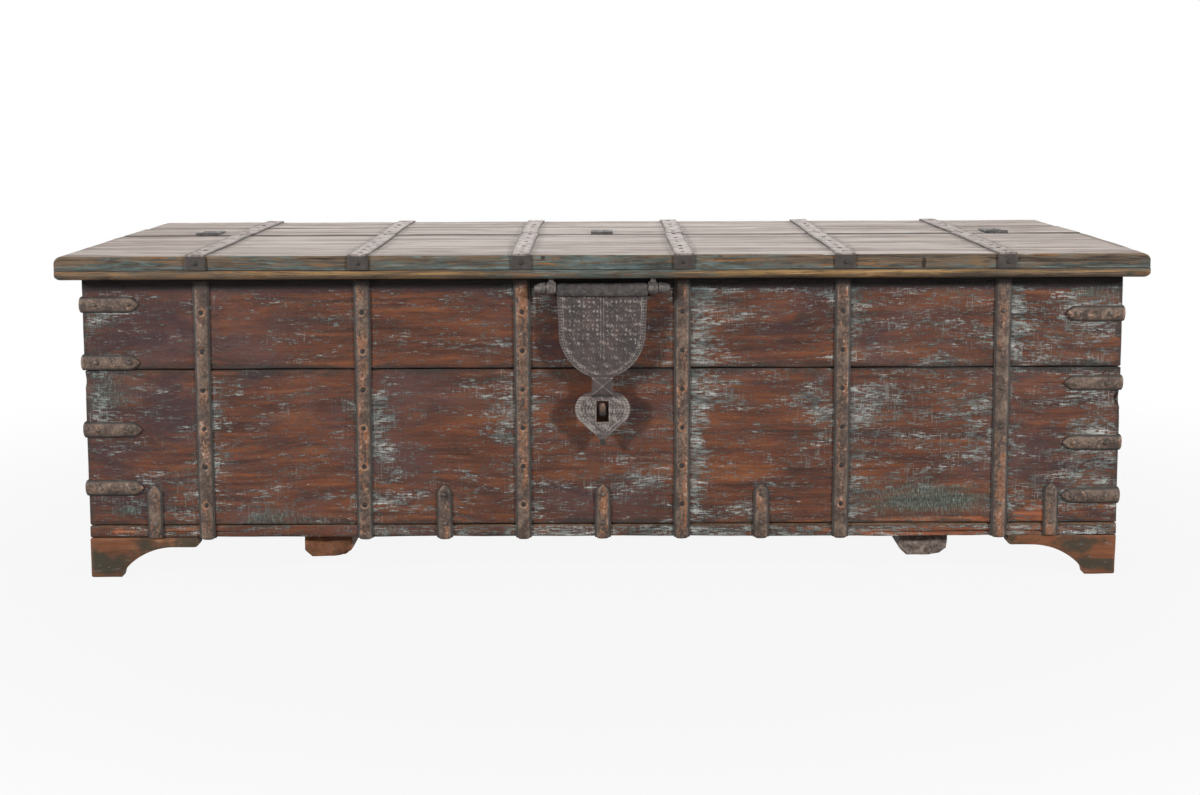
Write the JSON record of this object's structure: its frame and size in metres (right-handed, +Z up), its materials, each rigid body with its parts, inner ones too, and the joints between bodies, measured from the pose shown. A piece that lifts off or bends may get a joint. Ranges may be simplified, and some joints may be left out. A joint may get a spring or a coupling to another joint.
{
  "type": "trunk coffee table",
  "caption": "Long low iron-bound plank trunk used as a coffee table, with a hinged front half of the lid, a swinging hasp over a staple, and bracket feet.",
  "frame": {"origin": "on the floor, under the middle of the lid", "axes": "+X to the right along the front, +Y from the front to the back, +Z up"},
  "size_m": [1.6, 0.6698, 0.4929],
  "materials": {
    "stained_wood": "red-brown stain with worn blue-grey paint",
    "worn_top_wood": "bare, bleached and scrubbed",
    "lid_edge_wood": "worn ochre and blue-green paint",
    "foot_wood": "worn stain",
    "bare_wood": "rough sawn",
    "band_iron": "rusted, rubbed wrought iron",
    "lid_iron": "worn wrought iron",
    "hasp_iron": "dark forged iron",
    "nail_iron": "rusted iron"
  },
  "bodies": {
    "trunk": {"front_lower_board": "stained_wood", "back_lower_board": "stained_wood", "left_lower_board": "stained_wood", "right_lower_board": "stained_wood", "front_upper_board": "stained_wood", "back_upper_board": "stained_wood", "left_upper_board": "stained_wood", "right_upper_board": "stained_wood", "bottom_front_board": "stained_wood", "bottom_middle_board": "stained_wood", "bottom_rear_board": "stained_wood", "left_bearer": "foot_wood", "right_bearer": "foot_wood", "front_left_foot": "foot_wood", "front_right_foot": "foot_wood", "back_left_foot": "foot_wood", "back_right_foot": "foot_wood", "iron_band_1": "band_iron", "iron_band_2": "band_iron", "iron_band_3": "band_iron", "iron_band_4": "band_iron", "iron_band_5": "band_iron", "iron_band_6": "band_iron", "short_strap_1": "band_iron", "short_strap_2": "band_iron", "short_strap_3": "band_iron", "short_strap_4": "band_iron", "short_strap_5": "band_iron", "back_short_straps": "band_iron", "front_left_corner_straps": "band_iron", "front_right_corner_straps": "band_iron", "back_left_corner_straps": "band_iron", "back_right_corner_straps": "band_iron", "fixed_front_board": "worn_top_wood", "fixed_rear_board": "worn_top_wood", "fixed_rear_moulding": "lid_edge_wood", "fixed_left_moulding": "lid_edge_wood", "fixed_right_moulding": "lid_edge_wood", "fixed_top_rail": "bare_wood", "fixed_top_straps": "lid_iron", "fixed_hinge_leaves": "lid_iron", "hinge_pins": "lid_iron", "staple": "hasp_iron", "box_nails": "nail_iron", "fixed_top_nails": "nail_iron"},
    "flap": {"flap_front_board": "worn_top_wood", "flap_main_board": "worn_top_wood", "flap_front_moulding": "lid_edge_wood", "flap_left_moulding": "lid_edge_wood", "flap_right_moulding": "lid_edge_wood", "flap_battens": "bare_wood", "flap_straps": "lid_iron", "flap_hinge_leaves": "lid_iron", "flap_nails": "nail_iron", "hasp_pin": "hasp_iron", "left_hasp_eye": "hasp_iron", "right_hasp_eye": "hasp_iron"},
    "hasp": {"hasp_plate": "hasp_iron", "hasp_barrel": "hasp_iron", "hasp_rivets": "hasp_iron"}
  },
  "joints": [
    {"name": "lid_open", "type": "hinge", "parent": "trunk", "child": "flap", "pos_m": [0, 0.042, 0.488], "axis": [-1, 0, 0], "range_deg": [0, 115]},
    {"name": "hasp_swing", "type": "hinge", "parent": "flap", "child": "hasp", "pos_m": [0, -0.315, 0.4375], "axis": [-1, 0, 0], "range_deg": [0, 110]}
  ]
}
